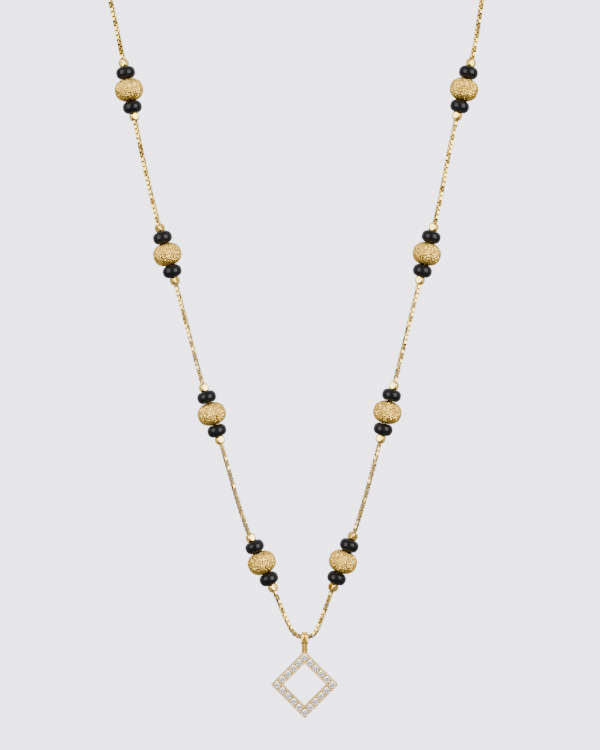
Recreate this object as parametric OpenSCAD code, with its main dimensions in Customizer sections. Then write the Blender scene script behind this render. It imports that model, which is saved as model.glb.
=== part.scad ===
// Mangalsutra: a fine gold box chain with eight groups of gold and black beads
// and an open diamond pendant set with clear stones.
// Millimetres, +Z up, worn side towards -Y. The origin is the middle of the clasp, at the nape.

/* [Chain] */
// Width of the box chain, as a plain tube
chain_d = 0.9; // [0.7:0.05:1]

/* [Gold beads] */
// Diameter of a gold bead
gold_d = 5.2; // [4.4:0.1:6]
// Length of a gold bead along the chain
gold_l = 4.2; // [3.6:0.1:4.8]
// Wall of the hollow gold bead
gold_wall = 0.35; // [0.2:0.05:0.5]
// Hole through a gold bead
gold_bore_d = 1.3; // [1.2:0.05:1.5]
// Squareness of the gold bead's outline, 2 being an ellipse
gold_square = 2.3; // [2:0.1:2.6]

/* [Black beads] */
// Diameter of a black bead
black_d = 3.5; // [3:0.1:4.2]
// Length of a black bead along the chain
black_l = 2.2; // [1.8:0.1:2.6]
// Radius of the rounded side of a black bead
black_round_r = 1; // [0.7:0.05:1.1]
// Hole through a black bead
black_bore_d = 1.2; // [1.15:0.05:1.4]
// Diameter of the dimple round the hole
dimple_d = 2.1; // [1.9:0.1:2.3]
// Depth of the dimple
dimple_depth = 0.2; // [0.15:0.05:0.3]

/* [Gold spacers] */
// Width of the cube that a spacer is cut from
spacer_w = 1.5; // [1.3:0.05:1.7]
// Diameter of the ball that rounds its corners
spacer_ball_d = 1.9; // [1.8:0.02:2.1]
// Hole through a spacer
spacer_bore_d = 1.1; // [1.1:0.02:1.2]

/* [Pendant frame] */
// Side of the square frame, which hangs on its corner
frame_side = 8.5; // [8:0.1:10]
// Width of the band on each side
band_w = 1.5; // [1.45:0.05:1.8]
// Thickness from front to back
frame_t = 1.8; // [1.5:0.1:2.4]
// Width of the rims beside the stones
rim_w = 0.14; // [0.1:0.02:0.18]
// Height of the rims above the floor that holds the stones
rim_h = 0.22; // [0.15:0.01:0.3]
// Chamfer along the outer front and back edges
edge_cut = 0.14; // [0.05:0.01:0.2]

/* [Stones] */
// Diameter of a stone
stone_d = 1.22; // [1:0.02:1.24]
// Stones along each side, counting one of its two corners
stones_a_side = 5; // [3:1:5]
// Height of a stone's girdle above the floor of the band
girdle_up = 0.03; // [0:0.01:0.05]
// Diameter of the small gold grains that hold the stones
grain_d = 0.26; // [0.2:0.01:0.27]
// How far a grain runs into the rim beside it
grain_bite = 0.03; // [0.01:0.01:0.05]
// How far a grain is rooted in the floor
grain_root = 0.1; // [0.05:0.01:0.2]
// Hole behind each stone
light_hole_d = 0.6; // [0.4:0.05:0.8]

/* [Bail] */
// Length of the straight legs of its two wires, below the middle of the chain
leg_l = 0.98; // [0.6:0.02:1.2]
// Inner radius of the bend at the foot of the legs
foot_in_r = 0.05; // [0.02:0.01:0.15]
// Thickness of its two half-round wires
wire_t = 0.3; // [0.24:0.02:0.4]
// Width of each half-round wire
wire_w = 0.6; // [0.5:0.02:0.7]
// Outward lean of each wire towards its bottom, in degrees
wire_lean = 5; // [0:1:7]
// Width of the groove between the two wires, at the middle of the chain
groove_w = 0.06; // [0.04:0.01:0.1]
// Thickness of the web behind that groove
web_t = 0.1; // [0.08:0.01:0.16]
// Width of the stem below the wires
stem_w = 1.06; // [0.9:0.02:1.2]
// Depth of the stem from front to back
stem_t = 0.9; // [0.7:0.05:1.1]
// Length of the stem that shows between the wires and the frame
stem_l = 1.25; // [1:0.05:2]
// Length of the stem that runs into the frame's corner
stem_root = 0.35; // [0.25:0.01:0.38]

/* [Clasp] */
// Length of the plain barrel clasp
clasp_l = 9; // [7:0.5:12]
// Diameter of the clasp
clasp_d = 3; // [2.4:0.1:4]
// Depth of the hole in each end that takes the chain
clasp_hole_l = 2; // [1.5:0.1:3]

/* [Clearances] */
// Gap between beads that lie against each other
bead_gap = 0.05; // [0.03:0.01:0.1]
// How far a gold bead's end sits inside the dimples of the black beads
nest = 0.1; // [0:0.01:0.12]
// How far a spacer's end sits inside the dimple of its black bead
spacer_nest = 0.16; // [0:0.01:0.18]
// Straight chain beyond the spacers at each end of a group, before the chain may bend
group_slack = 0.4; // [0.2:0.1:0.8]
// Gap round a stone in its seat
seat_gap = 0.03; // [0.02:0.005:0.04]
// Gap between the chain and the arch of the bail
hang_gap = 0.12; // [0.1:0.01:0.25]
// Gap round the chain in the clasp's end holes
clasp_gap = 0.06; // [0.04:0.01:0.1]
// Gap between the chain's end and the bottom of its hole
clasp_end_gap = 0.2; // [0.1:0.05:0.4]

/* [Hidden] */
// The groups of beads down each side: across, up, lean from the vertical in degrees
groups_left = [
    [-29.9, -46.2, 11],
    [-23.0, -75.8, 16],
    [-15.0, -104.5, 17],
    [-6.0, -131.3, 24]
];
groups_right = [
    [30.4, -46.1, -14.5],
    [23.7, -75.7, -14.5],
    [16.6, -104.2, -14],
    [8.6, -131.1, -21]
];
// How each group's upper and lower spacers are turned about the chain, in degrees
turns_left = [[60, 25], [50, 40], [25, 25], [30, 35]];
turns_right = [[30, 60], [65, 65], [65, 60], [40, 40]];
// The chain's way from the clasp round the neck to the front, on the right side; the left is its mirror
front_y = -80;
way_round_neck = [
    [9, -0.4, 0],
    [17.5, -2.8, -0.2],
    [26, -6.8, -0.4],
    [34.5, -12.8, -0.6],
    [41.8, -20.5, -0.8],
    [47.2, -29.5, -1],
    [50.4, -39.5, -1.2],
    [51.3, -50, -1.5],
    [50.2, -59, -2.2],
    [47.8, -66.5, -3.6],
    [44.8, -72.5, -6],
    [41.8, -76.8, -9.8],
    [39.2, -79.2, -14.4],
    [37, -80, -19.6],
    [35.5, -80, -23]
];
// The chain's bend in the bail: across, up
bend_left = [[-1.1, -142.5], [-0.5, -143.6], [0.2, -144.3], [1, -144.6]];
bend_right = [[4.3, -142.5], [3.8, -143.6], [3.2, -144.3], [2.4, -144.6]];
hang_x = 1.7;
hang_z = -144.6;

sides_of_tube = 8;
// Where each kind of bead lies along a group, from the middle of the gold bead
black_at = gold_l / 2 - nest + bead_gap + black_l / 2;
spacer_at = black_at + black_l / 2 - spacer_nest + bead_gap + spacer_w / 2;
group_half_l = spacer_at + spacer_w / 2 + group_slack;
// The straight end of the chain in the clasp
chain_end = [for (x = [clasp_l / 2 - clasp_hole_l + clasp_end_gap, clasp_l / 2 + clasp_end_gap]) [x, 0, 0]];
// The pendant's heights below the chain in the bail
arch_r = chain_d / 2 + hang_gap + wire_t / 2;
foot_r = foot_in_r + wire_t / 2;
foot_z = -leg_l - foot_r;
frame_corner_z = foot_z - wire_t / 2 - stem_l;
frame_centre_z = frame_corner_z - frame_side / sqrt(2);
wire_at = (wire_w + groove_w) / 2;
stone_row = frame_side - band_w;
stone_pitch = stone_row / stones_a_side;
girdle_z = frame_t / 2 - rim_h + girdle_up;
// A stone's radii at its table, its crown's middle and its keel, and its heights, as shares
table_share = 0.57;
crown_share = 0.82;
keel_share = 0.25;
crown_h = stone_d * 0.155;
girdle_t = stone_d * 0.03;
keel_h = stone_d * 0.43;
eps = 0.01;

sides = ["left", "right"];
ends = ["upper", "lower"];

function unit(v) = v / norm(v);
function mirrored(v) = [-v.x, v.y, v.z];
function in_front(p) = [p.x, front_y, p.y];
function groups(side) = side == "left" ? groups_left : groups_right;
function turns(side) = side == "left" ? turns_left : turns_right;
function lean_of(g) = [sin(g[2]), 0, -cos(g[2])];
// A group's upper and lower end on the chain
function group_end(g, down) = in_front(g) + down * group_half_l * lean_of(g);

// The route of each half of the chain, from the clasp to the middle of the bail
function route(side) = concat(
    [for (p = concat(chain_end, way_round_neck)) side == "left" ? mirrored(p) : p],
    [for (g = groups(side)) for (down = [-1, 1]) group_end(g, down)],
    [for (p = side == "left" ? bend_left : bend_right) in_front(p)],
    [in_front([hang_x, hang_z])]
);

// Tangent of a route at each point, flat across the chain at the bail
function way(r, i) =
    i == 0 ? unit(r[1] - r[0])
    : i == len(r) - 1 ? [sign(r[i].x - r[i - 1].x), 0, 0]
    : unit(unit(r[i + 1] - r[i]) + unit(r[i] - r[i - 1]));
function square_to(v, t) = unit(v - t * (v * t));

// Side vectors carried along the route without twist
function side_vectors(r) = [
    for (i = 0, n = square_to([0, 0, 1], way(r, 0));
        i < len(r);
        i = i + 1, n = i < len(r) ? square_to(n, way(r, i)) : n) n
];

// A closed tube with a count of flat sides through the points of a route
module tube(r, d, count) {
    n = side_vectors(r);
    points = [
        for (i = [0 : len(r) - 1]) for (k = [0 : count - 1])
            let (a = 360 * (k + 0.5) / count)
            r[i] + d / 2 * (cos(a) * n[i] + sin(a) * cross(way(r, i), n[i]))
    ];
    walls = [
        for (i = [0 : len(r) - 2]) for (k = [0 : count - 1])
            let (a = i * count + k, b = i * count + (k + 1) % count)
            [a, a + count, b + count, b]
    ];
    first = [for (k = [0 : count - 1]) k];
    last = [for (k = [0 : count - 1]) len(r) * count - 1 - k];
    polyhedron(points, concat([first, last], walls), convexity = 10);
}

module chain(side) {
    color("#d8ac5c") tube(route(side), chain_d, sides_of_tube);
}

// Places a bead of group i on its side, a given way down the group's axis
module on_group(side, i, along) {
    g = groups(side)[i - 1];
    translate(in_front(g) + along * lean_of(g)) rotate([0, -g[2], 0]) children();
}

// Half of a rounded outline, from one end of the axis round to the other
function rounded_outline(r, half_l, power) = [
    for (a = [-90 : 7.5 : 90])
        [r * pow(cos(a), 2 / power), half_l * sign(sin(a)) * pow(abs(sin(a)), 2 / power)]
];

module gold_bead(side, i) {
    color("#d6ae6e") on_group(side, i, 0) rotate_extrude($fn = 64) difference() {
        polygon(rounded_outline(gold_d / 2, gold_l / 2, gold_square));
        polygon(rounded_outline(gold_d / 2 - gold_wall, gold_l / 2 - gold_wall, gold_square));
        translate([-eps, -gold_l]) square([gold_bore_d / 2 + eps, 2 * gold_l]);
    }
}

// A flat-ended ring of glass with a fully rounded side and a dimple round its hole
module black_bead(side, i, end) {
    round_r = min(black_round_r, black_l / 2);
    flat_r = black_d / 2 - round_r;
    color("#101012") on_group(side, i, end * black_at) rotate_extrude($fn = 64) difference() {
        union() {
            translate([0, -black_l / 2]) square([flat_r, black_l]);
            translate([0, -black_l / 2 + round_r]) square([black_d / 2, max(black_l - 2 * round_r, eps)]);
            for (s = [-1, 1]) translate([flat_r, s * (black_l / 2 - round_r)]) circle(round_r, $fn = 64);
        }
        translate([-black_d, -black_l]) square([black_d + black_bore_d / 2, 2 * black_l]);
        for (s = [-1, 1]) polygon([
            [0, s * (black_l / 2 + eps)],
            [dimple_d / 2, s * (black_l / 2 + eps)],
            [black_bore_d / 2 - eps, s * (black_l / 2 - dimple_depth)],
            [0, s * (black_l / 2 - dimple_depth)]
        ]);
    }
}

// A cube rounded by a ball, so that each face is a round flat; every spacer is turned its own way
module spacer(side, i, end) {
    turn = turns(side)[i - 1][end < 0 ? 0 : 1];
    color("#e6b85f") on_group(side, i, end * spacer_at) rotate([0, 0, turn]) difference() {
        intersection() {
            cube(spacer_w, center = true);
            sphere(d = spacer_ball_d, $fn = 64);
        }
        cylinder(d = spacer_bore_d, h = 2 * spacer_w, center = true, $fn = 48);
    }
}

// Places the pendant: its own z faces the front, its y points up, its zero is the chain in the bail
module on_bail() {
    translate([hang_x, front_y, hang_z]) rotate([90, 0, 0]) children();
}

// Places something at every stone, side by side round the square
module at_stones() {
    for (k = [0 : 3]) for (j = [0 : stones_a_side - 1])
        rotate([0, 0, 90 * k])
        translate([stone_row / 2 - j * stone_pitch, stone_row / 2, girdle_z]) children();
}

module square_on_corner() {
    translate([0, frame_centre_z, 0]) rotate([0, 0, 45]) children();
}

// The hole that a stone sits in, with a smaller hole behind it
module seat() {
    seat_r = stone_d / 2 + seat_gap;
    slope = keel_h / (stone_d / 2);
    rotate_extrude($fn = 48) polygon([
        [0, frame_t],
        [seat_r, frame_t],
        [seat_r, -girdle_t - seat_gap],
        [light_hole_d / 2, -girdle_t - seat_gap - slope * (seat_r - light_hole_d / 2)],
        [light_hole_d / 2, -2 * frame_t],
        [0, -2 * frame_t]
    ]);
}

// Small domed grains of gold raised between neighbouring stones, along both rims
module grains() {
    off = band_w / 2 - rim_w - grain_d / 2 + grain_bite;
    root_z = frame_t / 2 - rim_h - grain_root;
    straight_h = grain_root + rim_h - grain_d / 2;
    for (k = [0 : 3]) rotate([0, 0, 90 * k])
        for (j = [0 : stones_a_side - 1]) for (s = [-1, 1])
            translate([stone_row / 2 - (j + 0.5) * stone_pitch, stone_row / 2 + s * off, root_z])
                rotate_extrude($fn = 24) intersection() {
                    union() {
                        square([grain_d / 2, straight_h]);
                        translate([0, straight_h]) circle(grain_d / 2, $fn = 24);
                    }
                    square(frame_t);
                }
}

module diamond_frame() {
    inner = frame_side - 2 * band_w;
    difference() {
        cube([frame_side, frame_side, frame_t], center = true);
        cube([inner, inner, 2 * frame_t], center = true);
        // The channel between the two rims
        translate([0, 0, frame_t / 2 - rim_h]) difference() {
            translate([-frame_side / 2 + rim_w, -frame_side / 2 + rim_w, 0])
                cube([frame_side - 2 * rim_w, frame_side - 2 * rim_w, frame_t]);
            translate([-inner / 2 - rim_w, -inner / 2 - rim_w, -eps])
                cube([inner + 2 * rim_w, inner + 2 * rim_w, 2 * frame_t]);
        }
        // Chamfers along the outer edges
        for (k = [0 : 3]) for (s = [-1, 1])
            rotate([0, 0, 90 * k]) translate([frame_side / 2, 0, s * frame_t / 2]) rotate([0, 45, 0])
                cube([edge_cut * sqrt(2), 2 * frame_side, edge_cut * sqrt(2)], center = true);
        at_stones() seat();
    }
    grains();
}

// The half-round section of a bail wire: its thickness across with the dome to the right, its width up
module wire_section() {
    translate([-wire_t / 2, 0]) polygon([for (a = [-90 : 15 : 90]) [wire_t * cos(a), wire_w / 2 * sin(a)]]);
}

// The part of a ring of bail wire about the x axis that lies in a box
module wire_arc(mid_r, corner, size) {
    intersection() {
        rotate([0, 90, 0]) rotate_extrude($fn = 64) translate([mid_r, 0]) wire_section();
        translate(corner) cube(size);
    }
}

// One wire of the bail: an arch over the chain, two straight legs, and a foot that closes them
module wire_loop() {
    arch_out = arch_r + wire_t;
    foot_out = foot_r + wire_t;
    wire_arc(arch_r, [-wire_w, 0, -arch_out], [2 * wire_w, arch_out, 2 * arch_out]);
    for (f = [-1, 1]) {
        translate([0, -leg_l, f * arch_r]) rotate([-90, 0, 0])
            linear_extrude(leg_l) rotate(-90 * f) wire_section();
        translate([0, -leg_l, f * (arch_r - foot_r)])
            wire_arc(foot_r, [-wire_w, -foot_out, f > 0 ? 0 : -foot_out], [2 * wire_w, foot_out, foot_out]);
    }
    translate([0, foot_z, foot_r - arch_r]) linear_extrude(2 * (arch_r - foot_r)) rotate(-90) wire_section();
}

// The bail: two such wires side by side, which lean apart towards their feet, on a web between their legs
module bail() {
    for (s = [-1, 1]) rotate([0, 0, s * wire_lean]) translate([s * wire_at, 0, 0]) wire_loop();
    for (f = [-1, 1]) translate([0, foot_z / 2, f * (arch_r - wire_t / 2 + web_t / 2)])
        cube([2 * wire_at, -foot_z, web_t], center = true);
}

// The stem: two flat side bars with a sunk panel and one fine ridge between them, front and back
module stem() {
    bar_w = stem_w * 0.2;
    sunk = stem_t * 0.12;
    ridge_w = stem_w * 0.1;
    bottom_y = frame_corner_z - stem_root;
    translate([0, bottom_y, 0]) rotate([-90, 0, 0]) linear_extrude(foot_z - bottom_y) {
        for (s = [-1, 1]) translate([s * (stem_w - bar_w) / 2, 0]) square([bar_w, stem_t], center = true);
        square([stem_w - bar_w, stem_t - 2 * sunk], center = true);
        square([ridge_w, stem_t - sunk], center = true);
    }
}

module pendant_frame() {
    color("#d9b06a") on_bail() {
        bail();
        stem();
        square_on_corner() diamond_frame();
    }
}

// A point of a cut stone: share of its radius, angle, height
function cut(share, angle, z) = [share * stone_d / 2 * cos(angle), share * stone_d / 2 * sin(angle), z];

// A round brilliant: a flat table, eight kites and their halves above and below a thin girdle
module brilliant() {
    kite_z = crown_h * (1 - crown_share * cos(22.5)) / (1 - table_share);
    keel_z = -girdle_t - keel_h * (1 - keel_share * cos(22.5));
    points = concat(
        [for (k = [0 : 7]) cut(table_share, 45 * k + 22.5, crown_h)],
        [for (k = [0 : 7]) cut(crown_share, 45 * k, kite_z)],
        [for (j = [0 : 15]) cut(1, 22.5 * j, 0)],
        [for (j = [0 : 15]) cut(1, 22.5 * j, -girdle_t)],
        [for (k = [0 : 7]) cut(keel_share, 45 * k, keel_z)],
        [[0, 0, -girdle_t - keel_h]]
    );
    crown = 8;
    rim = 16;
    belt = 32;
    keel = 48;
    culet = 56;
    faces = concat(
        [[for (k = [7 : -1 : 0]) k]],
        [for (k = [0 : 7]) let (l = (k + 7) % 8) [k, crown + k, l]],
        [for (k = [0 : 7]) [k, rim + 2 * k + 1, crown + k]],
        [for (k = [0 : 7]) [k, crown + (k + 1) % 8, rim + 2 * k + 1]],
        [for (k = [0 : 7]) [crown + k, rim + 2 * k, rim + (2 * k + 15) % 16]],
        [for (k = [0 : 7]) [crown + k, rim + 2 * k + 1, rim + 2 * k]],
        [for (j = [0 : 15]) [rim + j, rim + (j + 1) % 16, belt + (j + 1) % 16, belt + j]],
        [for (k = [0 : 7]) [keel + k, belt + (2 * k + 15) % 16, belt + 2 * k]],
        [for (k = [0 : 7]) [keel + k, belt + 2 * k, belt + 2 * k + 1]],
        [for (k = [0 : 7]) [culet, keel + k, belt + 2 * k + 1]],
        [for (k = [0 : 7]) [culet, belt + 2 * k + 1, keel + (k + 1) % 8]]
    );
    polyhedron(points, faces, convexity = 4);
}

module stones() {
    color("#e8eaf2") on_bail() square_on_corner() at_stones() brilliant();
}

// A plain barrel with a grip ring, rounded off at both ends, and a hole in each end for the chain
module clasp() {
    hole_r = chain_d / 2 + clasp_gap;
    collar = clasp_d * 0.15;
    color("#d8ac5c") rotate([0, 90, 0]) rotate_extrude($fn = 64) polygon([
        [0, -clasp_l / 2 + clasp_hole_l],
        [hole_r, -clasp_l / 2 + clasp_hole_l],
        [hole_r, -clasp_l / 2],
        [clasp_d / 2 - 2 * collar, -clasp_l / 2],
        [clasp_d / 2 - collar, -clasp_l / 2 + collar],
        [clasp_d / 2 - collar, -collar],
        [clasp_d / 2, -collar],
        [clasp_d / 2, collar],
        [clasp_d / 2 - collar, collar],
        [clasp_d / 2 - collar, clasp_l / 2 - collar],
        [clasp_d / 2 - 2 * collar, clasp_l / 2],
        [hole_r, clasp_l / 2],
        [hole_r, clasp_l / 2 - clasp_hole_l],
        [0, clasp_l / 2 - clasp_hole_l]
    ]);
}

for (side = sides) {
    chain(side);
    for (i = [1 : 4]) {
        gold_bead(side, i);
        for (end = [-1, 1]) {
            where = str(side, "_", i, "_", end < 0 ? "upper" : "lower");
            black_bead(side, i, end);
            spacer(side, i, end);
        }
    }
}
pendant_frame();
stones();
clasp();
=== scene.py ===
"""A mangalsutra that hangs from the nape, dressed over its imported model.

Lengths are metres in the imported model's own frame: the middle of the clasp is the origin, +Z is up and the
worn side faces -Y. Each new piece is a surface worked out on a grid, of points[around, along an outline].
"""

import bpy
import numpy as np
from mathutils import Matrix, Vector


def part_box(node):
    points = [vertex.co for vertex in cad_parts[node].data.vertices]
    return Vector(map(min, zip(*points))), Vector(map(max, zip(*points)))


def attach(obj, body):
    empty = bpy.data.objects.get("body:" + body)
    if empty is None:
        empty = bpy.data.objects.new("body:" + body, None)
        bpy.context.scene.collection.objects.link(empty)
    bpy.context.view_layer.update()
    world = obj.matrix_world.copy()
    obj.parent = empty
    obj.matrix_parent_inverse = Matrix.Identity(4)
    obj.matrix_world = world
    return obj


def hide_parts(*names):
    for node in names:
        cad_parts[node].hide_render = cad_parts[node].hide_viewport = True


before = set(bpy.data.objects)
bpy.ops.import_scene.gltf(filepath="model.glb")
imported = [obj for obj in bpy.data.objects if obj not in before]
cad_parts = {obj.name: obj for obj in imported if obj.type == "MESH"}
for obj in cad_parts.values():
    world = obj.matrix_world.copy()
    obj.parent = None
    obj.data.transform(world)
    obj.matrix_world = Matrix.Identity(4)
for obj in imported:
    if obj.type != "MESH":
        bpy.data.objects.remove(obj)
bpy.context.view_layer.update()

MM = 0.001
FULL_TURN = 2 * np.pi
GOLDEN_TURN = np.pi * (3 - np.sqrt(5))
SIDES = ("left", "right")
GROUPS = (1, 2, 3, 4)
ENDS = ("upper", "lower")

# The route of the chain, as the part's source gives it, in millimetres
FRONT_Y = -80
CLASP_END = [[2.7, 0, 0], [4.7, 0, 0]]
WAY_ROUND_NECK = [
    [9, -0.4, 0], [17.5, -2.8, -0.2], [26, -6.8, -0.4], [34.5, -12.8, -0.6], [41.8, -20.5, -0.8],
    [47.2, -29.5, -1], [50.4, -39.5, -1.2], [51.3, -50, -1.5], [50.2, -59, -2.2], [47.8, -66.5, -3.6],
    [44.8, -72.5, -6], [41.8, -76.8, -9.8], [39.2, -79.2, -14.4], [37, -80, -19.6], [35.5, -80, -23],
]
BEND_ACROSS_AND_UP = {
    "left": [[-1.1, -142.5], [-0.5, -143.6], [0.2, -144.3], [1, -144.6]],
    "right": [[4.3, -142.5], [3.8, -143.6], [3.2, -144.3], [2.4, -144.6]],
}
HANG_POINT = np.array([1.7, FRONT_Y, -144.6]) * MM
GROUP_HALF_LENGTH = 6.04 * MM
CURVE_STEPS = 60

# A link of the box chain, and how the links are turned about the chain, in radians
LINK_LENGTH = 0.81 * MM
LINK_WIDTH = 0.85 * MM
LINK_CORNER = 0.14 * MM
STRIP_THICKNESS = 0.19 * MM
STRIP_WIDTH = 0.46 * MM
STRIP_EDGE = 0.04 * MM
LINK_PITCH = LINK_LENGTH - 2 * STRIP_THICKNESS
RING_CORNERS = 8
SECTION_CORNERS = 6
CHAIN_ROLL = 0.26
CHAIN_ROLL_DRIFT = 0.08
LINK_TWIST = 0.2
CHAIN_DRIFT_LENGTH = 31 * MM
NECK_MIDDLE = np.array([0, -40]) * MM

# Beads
GOLD_RADIUS = 2.6 * MM
GOLD_HALF_LENGTH = 2.1 * MM
GOLD_BORE = 0.65 * MM
GOLD_SQUARENESS = 2.3
GOLD_AROUND = 280
GOLD_ALONG = 225
GOLD_SOFTNESS = 0.07 * MM
BORE_MARGIN = 1.02
BORE_FADE = 0.35 * MM
GRAIN_COUNT = 720
GRAIN_SIZE = 0.33 * MM
GRAIN_DEPTH = 0.14 * MM
GRAIN_HEIGHT = 0.62
GRAIN_LEAN = 1.9
CRACK_WIDTH = 0.1 * MM
CRACK_FLOOR = 0.35
BLACK_RADIUS = 1.75 * MM
BLACK_HALF_LENGTH = 1.1 * MM
BLACK_ROUND = 1 * MM
BLACK_BORE = 0.6 * MM
BLACK_AROUND = 48
BLACK_ALONG = 48
BLACK_SOFTNESS = 0.09 * MM
DIMPLE_RADIUS = 1.05 * MM
DIMPLE_DEPTH = 0.2 * MM
SPACER_HALF_WIDTH = 0.75 * MM
SPACER_BALL = 0.95 * MM
SPACER_BORE = 0.55 * MM
SPACER_SOFTNESS = 30
SPACER_TURNS = {
    "left": ((60, 25), (50, 40), (25, 25), (30, 35)),
    "right": ((30, 60), (65, 65), (65, 60), (40, 40)),
}

# Pendant and clasp: in how many steps to a metre corners count as one, and up to which bend faces look smooth
MERGE_STEPS = 1e8
SMOOTH_DEGREES = 32

# Gold seen edge-on
EDGE_TINT = (1, 0.78, 0.4, 1)

# Camera, in the photograph's scale of 0.18 mm to a pixel
VIEW_MIDDLE = Vector((0.88, FRONT_Y, -97.5)) * MM
VIEW_HEIGHT = 135 * MM
CAMERA_DISTANCE = 370 * MM
SENSOR = 36

# Floor, in metres
FLOOR_HEIGHT = -0.45
FLOOR_REACH = 1.2


# Surfaces

def ring_quads(around, along):
    """Quads of a grid that closes on itself both ways, facing outwards when the outline is walked with the
    surface's inside on its left."""
    a, s = np.meshgrid(np.arange(around), np.arange(along), indexing="ij")
    a_next, s_next = (a + 1) % around, (s + 1) % along
    corners = (a * along + s, a_next * along + s, a_next * along + s_next, a * along + s_next)
    return np.stack(corners, -1).reshape(-1, 4)


def turned(outline, around):
    """A lathed surface: each outline point (radius, height) is carried round the axis in even steps."""
    angle = np.arange(around)[:, None] / around * FULL_TURN
    radius, height = outline[None, :, 0], outline[None, :, 1]
    return np.stack([radius * np.cos(angle), radius * np.sin(angle), height + 0 * angle], -1)


def softened_outline(corners, count, rounding):
    """A closed outline walked in even steps, each point replaced by the mean of the outline weighted by a
    bell curve of its distance along the outline, which rounds the corners."""
    closed = np.vstack([corners, corners[:1]])
    walked = np.concatenate([[0], np.cumsum(np.linalg.norm(np.diff(closed, axis=0), axis=1))])
    marks = np.arange(count) / count * walked[-1]
    even = np.stack([np.interp(marks, walked, closed[:, k]) for k in (0, 1)], 1)
    apart = np.abs(marks[:, None] - marks[None, :])
    apart = np.minimum(apart, walked[-1] - apart)
    weight = np.exp(-((apart / rounding) ** 2))
    return weight @ even / weight.sum(1)[:, None]


def outline_normals(outline):
    """Unit vectors square to a closed outline, pointing out of it: the chord between a point's neighbours,
    turned by a right angle."""
    chord = np.roll(outline, -1, axis=0) - np.roll(outline, 1, axis=0)
    square = np.stack([chord[:, 1], -chord[:, 0]], 1)
    return square / np.linalg.norm(square, axis=1)[:, None]


def placed(points, middle, up, turn=0.0):
    """Points moved from a bead's own axes, with z along its hole, to its place on the chain."""
    across = np.cross([0, 1, 0], up)
    deep = np.cross(up, across)
    x_axis = np.cos(turn) * across + np.sin(turn) * deep
    y_axis = np.cos(turn) * deep - np.sin(turn) * across
    return middle + points @ np.stack([x_axis, y_axis, up])


def mesh_from(name, points, quads, smooth=True, fields=None, domain="POINT"):
    """A mesh from whole arrays of points and quads. Each field has a name and a number for each point, or for
    each face where the domain is FACE."""
    mesh = bpy.data.meshes.new(name)
    points = points.reshape(-1, 3)
    mesh.vertices.add(len(points))
    mesh.vertices.foreach_set("co", points.astype(np.float32).ravel())
    mesh.loops.add(quads.size)
    mesh.loops.foreach_set("vertex_index", quads.astype(np.int32).ravel())
    mesh.polygons.add(len(quads))
    mesh.polygons.foreach_set("loop_start", np.arange(0, quads.size, 4, dtype=np.int32))
    mesh.update(calc_edges=True)
    mesh.polygons.foreach_set("use_smooth", np.full(len(quads), smooth))
    for field, values in (fields or {}).items():
        attribute = mesh.attributes.new(field, "FLOAT", domain)
        attribute.data.foreach_set("value", values.astype(np.float32).ravel())
    return mesh


def add_piece(name, mesh, finish, slot, body, *nodes):
    """Puts a mesh into the scene as a piece that rides on a body and stands for the given CAD nodes."""
    piece = bpy.data.objects.new(name, mesh)
    bpy.context.scene.collection.objects.link(piece)
    mesh.materials.clear()
    mesh.materials.append(finish)
    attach(piece, body)
    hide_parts(*nodes)
    return piece


def node_middle(node):
    """The middle of a CAD node's box."""
    low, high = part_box(node)
    return np.array((low + high) / 2)


def group_up(side, i):
    """The unit vector up a group's axis, from its lower spacer to its upper one."""
    along = node_middle(f"spacer_{side}_{i}_upper") - node_middle(f"spacer_{side}_{i}_lower")
    return along / np.linalg.norm(along)


# Chain

def half_route(side):
    """The chain's points from the clasp down one side to its bend in the bail."""
    mirror = [-1 if side == "left" else 1, 1, 1]
    neck = np.array(CLASP_END + WAY_ROUND_NECK) * mirror * MM
    beads = [
        node_middle(f"gold_bead_{side}_{i}") + end * GROUP_HALF_LENGTH * group_up(side, i)
        for i in GROUPS
        for end in (1, -1)
    ]
    bend = [[across, FRONT_Y, up] for across, up in BEND_ACROSS_AND_UP[side]]
    return np.vstack([neck, beads, np.array(bend) * MM])


def curve_through(points):
    """A fine row of points on a curve through the given ones: between two of them it is the cubic that leaves
    each with the mean of the slopes on its two sides, weighted towards the shorter side."""
    steps = np.diff(points, axis=0)
    length = np.linalg.norm(steps, axis=1)[:, None]
    slope = steps / length
    inner = (slope[:-1] * length[1:] + slope[1:] * length[:-1]) / (length[:-1] + length[1:])
    tangent = np.vstack([slope[:1], inner, slope[-1:]])
    t = np.linspace(0, 1, CURVE_STEPS, endpoint=False)[None, :, None]
    start, end = points[:-1, None], points[1:, None]
    leave, arrive = tangent[:-1, None] * length[:, None], tangent[1:, None] * length[:, None]
    curve = (
        (2 * t**3 - 3 * t**2 + 1) * start
        + (t**3 - 2 * t**2 + t) * leave
        + (3 * t**2 - 2 * t**3) * end
        + (t**3 - t**2) * arrive
    )
    return np.vstack([curve.reshape(-1, 3), points[-1:]])


def along_curve(curve, marks):
    """The curve's points at the given lengths along it."""
    walked = np.concatenate([[0], np.cumsum(np.linalg.norm(np.diff(curve, axis=0), axis=1))])
    return np.stack([np.interp(marks, walked, curve[:, k]) for k in range(3)], 1)


def unit_rows(rows):
    """Each row brought to length 1."""
    return rows / np.linalg.norm(rows, axis=1)[:, None]


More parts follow.
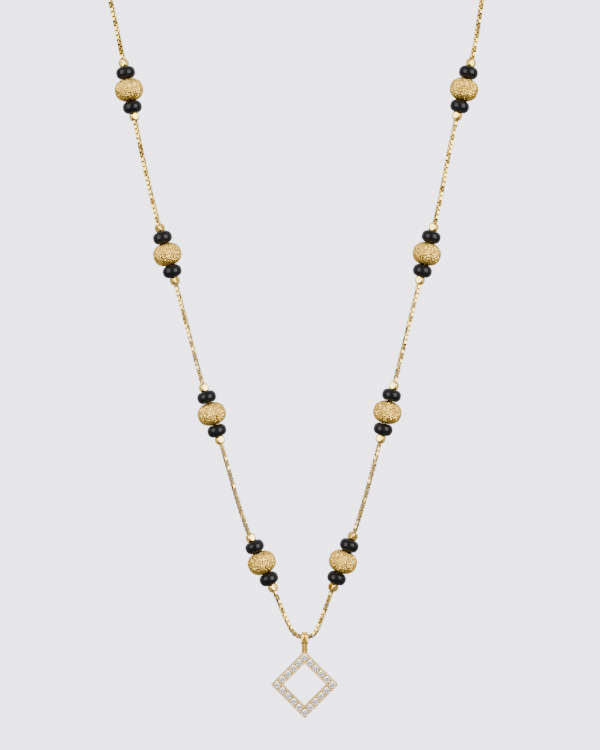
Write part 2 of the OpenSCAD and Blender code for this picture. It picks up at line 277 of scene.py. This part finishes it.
def link_template():
    """One link as an eight-cornered ring of flat strip: a long and wide square with cut corners, and the same
    square drawn in by the strip's thickness, joined by a six-cornered section. Returns ring by section points
    as (along the chain, across, along the link's hole)."""
    def cut_square(half_l, half_w, cut):
        return np.array([
            [half_l, half_w - cut], [half_l - cut, half_w], [cut - half_l, half_w], [-half_l, half_w - cut],
            [-half_l, cut - half_w], [cut - half_l, -half_w], [half_l - cut, -half_w], [half_l, cut - half_w],
        ])
    inside = (LINK_LENGTH / 2 - STRIP_THICKNESS, LINK_WIDTH / 2 - STRIP_THICKNESS)
    outer = cut_square(LINK_LENGTH / 2, LINK_WIDTH / 2, LINK_CORNER)
    inner = cut_square(*inside, LINK_CORNER - STRIP_THICKNESS * np.tan(np.pi / 8))
    edge = STRIP_EDGE / STRIP_THICKNESS
    half = STRIP_WIDTH / 2
    section = np.array([
        [0, -half], [1 - edge, -half], [1, STRIP_EDGE - half],
        [1, half - STRIP_EDGE], [1 - edge, half], [0, half],
    ])
    share = section[None, :, :1]
    flat = inner[:, None] * (1 - share) + outer[:, None] * share
    depth = np.broadcast_to(section[None, :, 1:], (RING_CORNERS, SECTION_CORNERS, 1))
    return np.concatenate([flat, depth], -1)


def painted_shade_openness():
    """How open each of a link's faces lies, ring by section, which sets how far painted shade darkens it: 1
    for the flat outsides of its two long bars, less for their sides, little for its corners and ends, and 0
    for its inside."""
    ring = np.array([0.3, 1, 0.3, 0.1, 0.3, 1, 0.3, 0.1])
    section = np.array([0.65, 0.9, 1, 0.9, 0.65, 0])
    return ring[:, None] * section


def chain_points(curve):
    """All links' points: the template repeated at each pitch along the curve, every other one turned by a
    right angle about it. A link's hole faces away from the neck's middle, plus a roll that drifts slowly and
    a small twist of its own."""
    total = np.linalg.norm(np.diff(curve, axis=0), axis=1).sum()
    count = int((total - LINK_LENGTH) / LINK_PITCH) + 1
    marks = LINK_LENGTH / 2 + LINK_PITCH * np.arange(count)
    middle = along_curve(curve, marks)
    along = unit_rows(along_curve(curve, marks + LINK_PITCH / 2) - along_curve(curve, marks - LINK_PITCH / 2))
    outward = np.column_stack([middle[:, :2] - NECK_MIDDLE, np.zeros(count)])
    facing = unit_rows(outward - along * (outward * along).sum(1)[:, None])
    beside = np.cross(facing, along)
    twist = np.random.default_rng(3).normal(0, LINK_TWIST, count)
    roll = CHAIN_ROLL + CHAIN_ROLL_DRIFT * np.sin(marks / CHAIN_DRIFT_LENGTH) + twist
    roll = (roll + np.pi / 2 * (np.arange(count) % 2))[:, None]
    hole = np.cos(roll) * facing + np.sin(roll) * beside
    across = np.cross(hole, along)
    axes = np.stack([along, across, hole], 1)
    return middle, middle[:, None] + link_template().reshape(-1, 3) @ axes


def make_chain(finish):
    """The whole loop of links, split between the two sides at the bend in the bail."""
    route = np.vstack([half_route("left"), HANG_POINT, half_route("right")[::-1]])
    middle, points = chain_points(curve_through(route))
    split = np.argmin(np.linalg.norm(middle - HANG_POINT, axis=1))
    link = ring_quads(RING_CORNERS, SECTION_CORNERS)
    for side, links in zip(SIDES, (points[:split], points[split:])):
        name = f"box_chain_{side}"
        first_corner = RING_CORNERS * SECTION_CORNERS * np.arange(len(links))
        quads = (link[None] + first_corner[:, None, None]).reshape(-1, 4)
        # The faces' openness goes in as the field that paints shade into the chain's gold
        openness = np.tile(painted_shade_openness().ravel(), len(links))
        mesh = mesh_from(name, links, quads, smooth=False, fields={"open": openness}, domain="FACE")
        add_piece(name, mesh, finish, "chain_gold", "necklace", f"chain_{side}")


# Beads

def gold_outline():
    """Half a rounded outline, radius = r cos^(2/n) and height = h sin^(2/n) of an angle, cut off where it
    meets the bore and closed along the bore, where one point in twelve is enough."""
    angle = np.radians(np.linspace(-90, 90, 721))
    power = 2 / GOLD_SQUARENESS
    radius = GOLD_RADIUS * np.cos(angle).clip(0) ** power
    height = GOLD_HALF_LENGTH * np.sign(angle) * np.abs(np.sin(angle)) ** power
    outside = np.stack([radius, height], 1)[radius > GOLD_BORE]
    top = outside[-1, 1]
    bore = np.array([[GOLD_BORE, top], [GOLD_BORE, -top]])
    even = softened_outline(np.vstack([outside, bore]), GOLD_ALONG, GOLD_SOFTNESS)
    return even[(even[:, 0] > BORE_MARGIN * GOLD_BORE) | (np.arange(GOLD_ALONG) % 12 == 0)]


def spread_grains(outline, chance):
    """Places spread evenly over a lathed surface: each next one lies a golden turn further round and an equal
    share of the area further along, with a little chance in both."""
    step = np.linalg.norm(np.diff(outline, axis=0), axis=1)
    area = np.concatenate([[0], np.cumsum(step * (outline[1:, 0] + outline[:-1, 0]) / 2)])
    order = np.arange(GRAIN_COUNT)
    reach = (order + chance.uniform(0, 1, GRAIN_COUNT)) / GRAIN_COUNT * area[-1]
    angle = order * GOLDEN_TURN + chance.uniform(-0.04, 0.04, GRAIN_COUNT)
    radius, height = (np.interp(reach, area, outline[:, k]) for k in (0, 1))
    return np.stack([radius * np.cos(angle), radius * np.sin(angle), height], -1)


def grained(points, places, chance):
    """Height from 0 to 1 of small cut grains: each point takes the tilted plane of its nearest grain, which
    leans its own way, and falls away to a crack where the next grain is as near."""
    lean = unit_rows(chance.normal(size=places.shape))
    flat = points.reshape(-1, 3)
    apart = (flat**2).sum(1)[:, None] + (places**2).sum(1) - 2 * flat @ places.T
    nearest = apart.argmin(1)
    rows = np.arange(len(flat))
    first = apart[rows, nearest]
    apart[rows, nearest] = np.inf
    margin = np.sqrt(apart.min(1).clip(0)) - np.sqrt(first.clip(0))
    tilt = ((flat - places[nearest]) * lean[nearest]).sum(1) / GRAIN_SIZE
    plane = (GRAIN_HEIGHT + GRAIN_LEAN * tilt).clip(0, 1)
    crack = CRACK_FLOOR + (1 - CRACK_FLOOR) * (margin / CRACK_WIDTH).clip(0, 1)
    return (plane * crack).reshape(points.shape[:2])


def make_gold_bead(side, i, finish):
    """A lathed bead whose outside is cut inwards between small tilted grains, less so towards the bore."""
    name, node = f"cut_bead_{side}_{i}", f"gold_bead_{side}_{i}"
    outline = gold_outline()
    points = turned(outline, GOLD_AROUND)
    chance = np.random.default_rng(10 * i + SIDES.index(side))
    outside = outline[outline[:, 0] > BORE_MARGIN * GOLD_BORE]
    grain = grained(points, spread_grains(outside, chance), chance)
    keep = ((outline[:, 0] - GOLD_BORE) / BORE_FADE).clip(0, 1) ** 2
    cut = -GRAIN_DEPTH * (1 - grain) * keep[None]
    normals = turned(outline_normals(outline), GOLD_AROUND)
    shape = placed(points + normals * cut[..., None], node_middle(node), group_up(side, i))
    # The grain height also goes in as a field that sets the painted shade and glints in the gold's colour
    mesh = mesh_from(name, shape, ring_quads(*grain.shape), fields={"grain": grain})
    add_piece(name, mesh, finish, "bead_gold", "necklace", node)


def black_outline():
    """A flat ring with a half-round side, a dimple at each end and a straight bore."""
    arc = np.radians(np.linspace(-90, 90, 61))
    radius = BLACK_RADIUS - BLACK_ROUND + BLACK_ROUND * np.cos(arc)
    height = np.sign(arc) * (BLACK_HALF_LENGTH - BLACK_ROUND) + BLACK_ROUND * np.sin(arc)
    round_side = np.stack([radius, height], 1)
    floor = BLACK_HALF_LENGTH - DIMPLE_DEPTH
    before = [[BLACK_BORE, -floor], [DIMPLE_RADIUS, -BLACK_HALF_LENGTH]]
    after = [[DIMPLE_RADIUS, BLACK_HALF_LENGTH], [BLACK_BORE, floor]]
    side = round_side[round_side[:, 0] > DIMPLE_RADIUS]
    return softened_outline(np.vstack([before, side, after]), BLACK_ALONG, BLACK_SOFTNESS)


def make_black_bead(side, i, end, finish):
    """A lathed bead of black glass."""
    name, node = f"glass_bead_{side}_{i}_{end}", f"black_bead_{side}_{i}_{end}"
    points = turned(black_outline(), BLACK_AROUND)
    shape = placed(points, node_middle(node), group_up(side, i))
    mesh = mesh_from(name, shape, ring_quads(BLACK_AROUND, BLACK_ALONG))
    add_piece(name, mesh, finish, "black_glass", "necklace", node)


def make_spacer(side, i, end, finish):
    """A cube rounded by a ball with softened edges: seen from its middle, a point lies at the distance whose
    inverse is the p-norm of the ball's inverse and of the direction's over half the cube's width. The bore is
    a straight tunnel between the two ends."""
    name, node = f"facet_bead_{side}_{i}_{end}", f"spacer_{side}_{i}_{end}"
    around, rows, tunnel = 64, 30, 2
    lean = np.arctan2(SPACER_BORE, SPACER_HALF_WIDTH)
    polar = np.linspace(np.pi - lean, lean, rows)[None]
    angle = np.arange(around)[:, None] / around * FULL_TURN
    direction = np.stack([
        np.sin(polar) * np.cos(angle), np.sin(polar) * np.sin(angle), np.cos(polar) + 0 * angle,
    ], -1)
    cube = (np.abs(direction) ** SPACER_SOFTNESS).sum(-1) / SPACER_HALF_WIDTH**SPACER_SOFTNESS
    reach = (cube + 1 / SPACER_BALL**SPACER_SOFTNESS) ** (-1 / SPACER_SOFTNESS)
    outside = direction * reach[..., None]
    share = np.linspace(0, 1, tunnel + 2)[1:-1][None, :, None]
    bore = outside[:, -1:] * (1 - share) + outside[:, :1] * share
    turn = np.radians(SPACER_TURNS[side][i - 1][ENDS.index(end)])
    shape = placed(np.concatenate([outside, bore], 1), node_middle(node), group_up(side, i), turn)
    mesh = mesh_from(name, shape, ring_quads(around, rows + tunnel))
    add_piece(name, mesh, finish, "spacer_gold", "necklace", node)


# Pendant and clasp

def softened_copy(node, name):
    """A CAD node's own shape with its doubled corners merged and its curves shaded smooth."""
    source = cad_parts[node].data
    co = np.empty(len(source.vertices) * 3)
    source.vertices.foreach_get("co", co)
    corners = np.empty(len(source.loops), int)
    source.loops.foreach_get("vertex_index", corners)
    steps = np.round(co.reshape(-1, 3) * MERGE_STEPS).astype(int)
    places, same = np.unique(steps, axis=0, return_inverse=True)
    triangles = same.ravel()[corners].reshape(-1, 3)
    whole = (triangles != np.roll(triangles, 1, axis=1)).all(1)
    mesh = bpy.data.meshes.new(name)
    mesh.from_pydata((places / MERGE_STEPS).tolist(), [], triangles[whole].tolist())
    mesh.shade_smooth()
    mesh.set_sharp_from_angle(angle=np.radians(SMOOTH_DEGREES))
    return mesh


def make_pendant(finish, clear):
    """The frame with its bail, and the stones as the CAD model has them."""
    mesh = softened_copy("pendant_frame", "open_square_pendant")
    add_piece("open_square_pendant", mesh, finish, "pendant_gold", "pendant", "pendant_frame")
    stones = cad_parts["stones"]
    stones.data.materials.clear()
    stones.data.materials.append(clear)


def make_clasp(finish):
    """The plain barrel at the nape."""
    mesh = softened_copy("clasp", "barrel_clasp")
    add_piece("barrel_clasp", mesh, finish, "clasp_gold", "necklace", "clasp")


# Materials

def principled(name, **sockets):
    """A material with one Principled shader, its sockets named with underscores for spaces."""
    made = bpy.data.materials.new(name)
    made.use_nodes = True
    shader = made.node_tree.nodes["Principled BSDF"]
    for socket, value in sockets.items():
        shader.inputs[socket.replace("_", " ")].default_value = value
    return made, made.node_tree, shader


def node_with(tree, kind, **sockets):
    """A node of a kind, with numbers set and outputs linked to its sockets by name."""
    node = tree.nodes.new(kind)
    for name, value in sockets.items():
        socket = node.inputs[name.replace("_", " ")]
        if isinstance(value, bpy.types.NodeSocket):
            tree.links.new(value, socket)
        else:
            socket.default_value = value
    return node


def noise(tree, size, detail=2.0, distortion=0.0):
    """Cloudy noise on Object coordinates, with clouds of a size."""
    where = tree.nodes.new("ShaderNodeTexCoord").outputs["Object"]
    node = node_with(
        tree, "ShaderNodeTexNoise", Vector=where, Scale=1 / size, Detail=detail, Distortion=distortion
    )
    return node.outputs["Fac"]


def between(tree, value, low, high, start=0.3, stop=0.7):
    """A number that runs from low to high while the value runs from start to stop."""
    node = node_with(
        tree, "ShaderNodeMapRange", Value=value, From_Min=start, From_Max=stop, To_Min=low, To_Max=high
    )
    return node.outputs["Result"]


def tones(tree, value, *stops):
    """A colour that runs through the stops, each a place and a colour."""
    ramp = tree.nodes.new("ShaderNodeValToRGB")
    tree.links.new(value, ramp.inputs["Fac"])
    elements = ramp.color_ramp.elements
    while len(elements) < len(stops):
        elements.new(0.5)
    for element, (place, colour) in zip(elements, stops):
        element.position = place
        element.color = (*colour, 1)
    return ramp.outputs["Color"]


def bumped(tree, height, depth, under=None):
    """A normal from a height between 0 and 1 that stands for a depth, laid over another normal."""
    node = node_with(tree, "ShaderNodeBump", Height=height, Distance=depth, Strength=1.0)
    if under is not None:
        tree.links.new(under, node.inputs["Normal"])
    return node.outputs["Normal"]


def rounded(tree, radius):
    """A normal that is worn round at the edges over a radius."""
    node = node_with(tree, "ShaderNodeBevel", Radius=radius)
    node.samples = 8
    return node.outputs["Normal"]


def polished_gold(name, light, deep, edge, gloss=0.1, rough=0.2, shade=None):
    """Polished gold plate with edges worn round over a radius: its tone drifts slowly between light and deep,
    handling marks dull it in patches from gloss to rough, and it has a fine uneven skin. With a shade colour,
    the tone drops to it where the faces' openness runs out: painted shade on the faces inside and between
    links."""
    made, tree, shader = principled(name, Metallic=1.0, Specular_Tint=EDGE_TINT)
    tone = tones(tree, noise(tree, 2.5 * MM), (0.3, deep), (0.7, light))
    # Painted shade: the tone is mixed towards the shade colour on the faces that lie less open
    if shade is not None:
        painted_shade_mask = tree.nodes.new("ShaderNodeAttribute")
        painted_shade_mask.attribute_name = "open"
        blend = tree.nodes.new("ShaderNodeMix")
        blend.data_type = "RGBA"
        tree.links.new(painted_shade_mask.outputs["Fac"], blend.inputs["Factor"])
        # This node has sockets for numbers too: those for colours are its inputs 6 and 7 and its output 2
        blend.inputs[6].default_value = (*shade, 1)
        tree.links.new(tone, blend.inputs[7])
        tone = blend.outputs[2]
    tree.links.new(tone, shader.inputs["Base Color"])
    marks = noise(tree, 0.5 * MM, detail=5, distortion=0.6)
    tree.links.new(between(tree, marks, gloss, rough), shader.inputs["Roughness"])
    skin = bumped(tree, noise(tree, 0.22 * MM, detail=3), 0.004 * MM, rounded(tree, edge))
    tree.links.new(skin, shader.inputs["Normal"])
    return made


def cut_gold():
    """Cut gold grains with a fine crystal skin, coloured by the grains' height: painted glints make their
    raised faces pale and bright, and painted shade makes the cracks browner.
    """
    made, tree, shader = principled("cut_gold", Metallic=1.0, Specular_Tint=EDGE_TINT)
    grain = tree.nodes.new("ShaderNodeAttribute")
    grain.attribute_name = "grain"
    # Painted shade and glints: brown where the grain height drops into a crack, pale on the highest parts of
    # the faces
    colour = tones(
        tree, grain.outputs["Fac"], (0.1, (0.5, 0.25, 0.03)), (0.5, (0.97, 0.6, 0.1)), (0.9, (1, 0.76, 0.17))
    )
    tree.links.new(colour, shader.inputs["Base Color"])
    tree.links.new(between(tree, noise(tree, 0.3 * MM, detail=4), 0.08, 0.2), shader.inputs["Roughness"])
    where = tree.nodes.new("ShaderNodeTexCoord").outputs["Object"]
    cells = node_with(tree, "ShaderNodeTexVoronoi", Vector=where, Scale=1 / (0.13 * MM))
    skin = bumped(tree, cells.outputs["Distance"], 0.012 * MM)
    tree.links.new(skin, shader.inputs["Normal"])
    return made


def black_glass():
    """Polished black glass, a little uneven in its gloss and skin."""
    made, tree, shader = principled("black_glass", IOR=1.28)
    colour = tones(tree, noise(tree, 1.5 * MM), (0.3, (0.002, 0.002, 0.003)), (0.7, (0.006, 0.005, 0.005)))
    tree.links.new(colour, shader.inputs["Base Color"])
    tree.links.new(between(tree, noise(tree, 0.6 * MM, detail=4), 0.14, 0.22), shader.inputs["Roughness"])
    skin = bumped(tree, noise(tree, 0.8 * MM), 0.01 * MM)
    tree.links.new(skin, shader.inputs["Normal"])
    return made


def clear_stone():
    """Cut and polished clear stone with faint smears on its facets, tinted warm as a painted reflection of
    the gold round it.
    """
    # Painted reflection: the warm tint stands for the gold round the stone
    gold_reflection_tint = (1, 0.94, 0.86, 1)
    made, tree, shader = principled("clear_stone", Base_Color=gold_reflection_tint, IOR=2.3, Transmission_Weight=1.0)
    smears = noise(tree, 0.5 * MM, detail=3)
    tree.links.new(between(tree, smears, 0.0, 0.04), shader.inputs["Roughness"])
    return made


# Studio

def floor():
    """A plain round floor far below, as a disc of rings."""
    rings, around = 12, 96
    radius = np.linspace(0.02, FLOOR_REACH, rings)[:, None]
    angle = np.arange(around)[None] / around * FULL_TURN
    back = radius * np.sin(angle) + FRONT_Y * MM
    points = np.stack([radius * np.cos(angle), back, FLOOR_HEIGHT + 0 * back], -1)
    quads = ring_quads(rings, around).reshape(rings, around, 4)[:-1].reshape(-1, 4)
    made, tree, shader = principled("pale_floor", Roughness=0.8)
    paper = tones(tree, noise(tree, 0.3), (0.3, (0.78, 0.77, 0.8)), (0.7, (0.8, 0.79, 0.82)))
    tree.links.new(paper, shader.inputs["Base Color"])
    disc = bpy.data.objects.new("floor", mesh_from("floor", points, quads))
    disc.visible_glossy = False
    disc.data.materials.append(made)
    bpy.context.scene.collection.objects.link(disc)


def softbox(name, azimuth, elevation, distance, width, height, radiance):
    """An oblong light aimed at the middle of the view, in degrees and metres. Azimuth 0 is the camera's side
    and 90 the right."""
    light = bpy.data.lights.new(name, "AREA")
    light.shape = "RECTANGLE"
    light.size = width
    light.size_y = height
    light.energy = radiance * np.pi * width * height
    a, e = np.radians([azimuth, elevation])
    towards = Vector((np.sin(a) * np.cos(e), -np.cos(a) * np.cos(e), np.sin(e)))
    lamp = bpy.data.objects.new(name, light)
    lamp.location = VIEW_MIDDLE + towards * distance
    lamp.rotation_euler = towards.to_track_quat("Z", "Y").to_euler()
    lamp.visible_camera = False
    bpy.context.scene.collection.objects.link(lamp)


def surroundings():
    """The camera sees an even pale backdrop. What lights and mirrors in the jewellery is a pale tent: bright
    behind the necklace, dim beside it and on the camera's side, and dimmer below than above."""
    world = bpy.data.worlds.new("pale_tent")
    bpy.context.scene.world = world
    world.use_nodes = True
    tree = world.node_tree
    tree.nodes.clear()
    direction = tree.nodes.new("ShaderNodeTexCoord").outputs["Generated"]
    parts = node_with(tree, "ShaderNodeSeparateXYZ", Vector=direction).outputs
    behind = between(tree, parts["Y"], 0.6, 1.3, start=0.0, stop=0.8)
    height = between(tree, parts["Z"], 0.45, 1.65, start=-0.7, stop=0.7)
    tent = node_with(tree, "ShaderNodeMath")
    tent.operation = "MULTIPLY"
    tree.links.new(behind, tent.inputs[0])
    tree.links.new(height, tent.inputs[1])
    lit = node_with(tree, "ShaderNodeBackground", Color=(0.99, 0.97, 1, 1), Strength=tent.outputs["Value"])
    seen = node_with(tree, "ShaderNodeBackground", Color=(0.9, 0.875, 1, 1), Strength=3.95)
    mix = tree.nodes.new("ShaderNodeMixShader")
    tree.links.new(tree.nodes.new("ShaderNodeLightPath").outputs["Is Camera Ray"], mix.inputs["Fac"])
    tree.links.new(lit.outputs["Background"], mix.inputs[1])
    tree.links.new(seen.outputs["Background"], mix.inputs[2])
    out = tree.nodes.new("ShaderNodeOutputWorld")
    tree.links.new(mix.outputs["Shader"], out.inputs["Surface"])


def camera():
    """Level with the middle of the view, straight in front of it."""
    lens = bpy.data.cameras.new("camera")
    lens.sensor_width = SENSOR
    lens.lens = SENSOR * CAMERA_DISTANCE / VIEW_HEIGHT
    lens.clip_start = 0.01
    stand = bpy.data.objects.new("camera", lens)
    stand.location = VIEW_MIDDLE - Vector((0, CAMERA_DISTANCE, 0))
    stand.rotation_euler = (np.pi / 2, 0, 0)
    bpy.context.scene.collection.objects.link(stand)
    bpy.context.scene.camera = stand


camera()
surroundings()
floor()
softbox("left_softbox", azimuth=-44, elevation=11, distance=0.6, width=0.44, height=0.5, radiance=6)
softbox("right_softbox", azimuth=44, elevation=11, distance=0.6, width=0.44, height=0.5, radiance=8)

# The chain's shade colour is painted shade, dark brown on the faces inside and between links
chain_gold = polished_gold(
    "chain_gold", light=(0.94, 0.66, 0.14), deep=(0.85, 0.57, 0.1), edge=0.03 * MM, shade=(0.09, 0.05, 0.015)
)
clasp_gold = polished_gold("clasp_gold", light=(0.98, 0.76, 0.27), deep=(0.92, 0.66, 0.18), edge=0.1 * MM)
spacer_gold = polished_gold(
    "spacer_gold", light=(1, 0.74, 0.19), deep=(0.94, 0.6, 0.12), edge=0.05 * MM, gloss=0.06, rough=0.14
)
pendant_gold = polished_gold(
    "pendant_gold", light=(1, 0.69, 0.14), deep=(0.95, 0.6, 0.1), edge=0.07 * MM, gloss=0.07, rough=0.14
)
bead_gold = cut_gold()
bead_glass = black_glass()

make_chain(chain_gold)
for side in SIDES:
    for i in GROUPS:
        make_gold_bead(side, i, bead_gold)
        for end in ENDS:
            make_black_bead(side, i, end, bead_glass)
            make_spacer(side, i, end, spacer_gold)
make_pendant(pendant_gold, clear_stone())
make_clasp(clasp_gold)
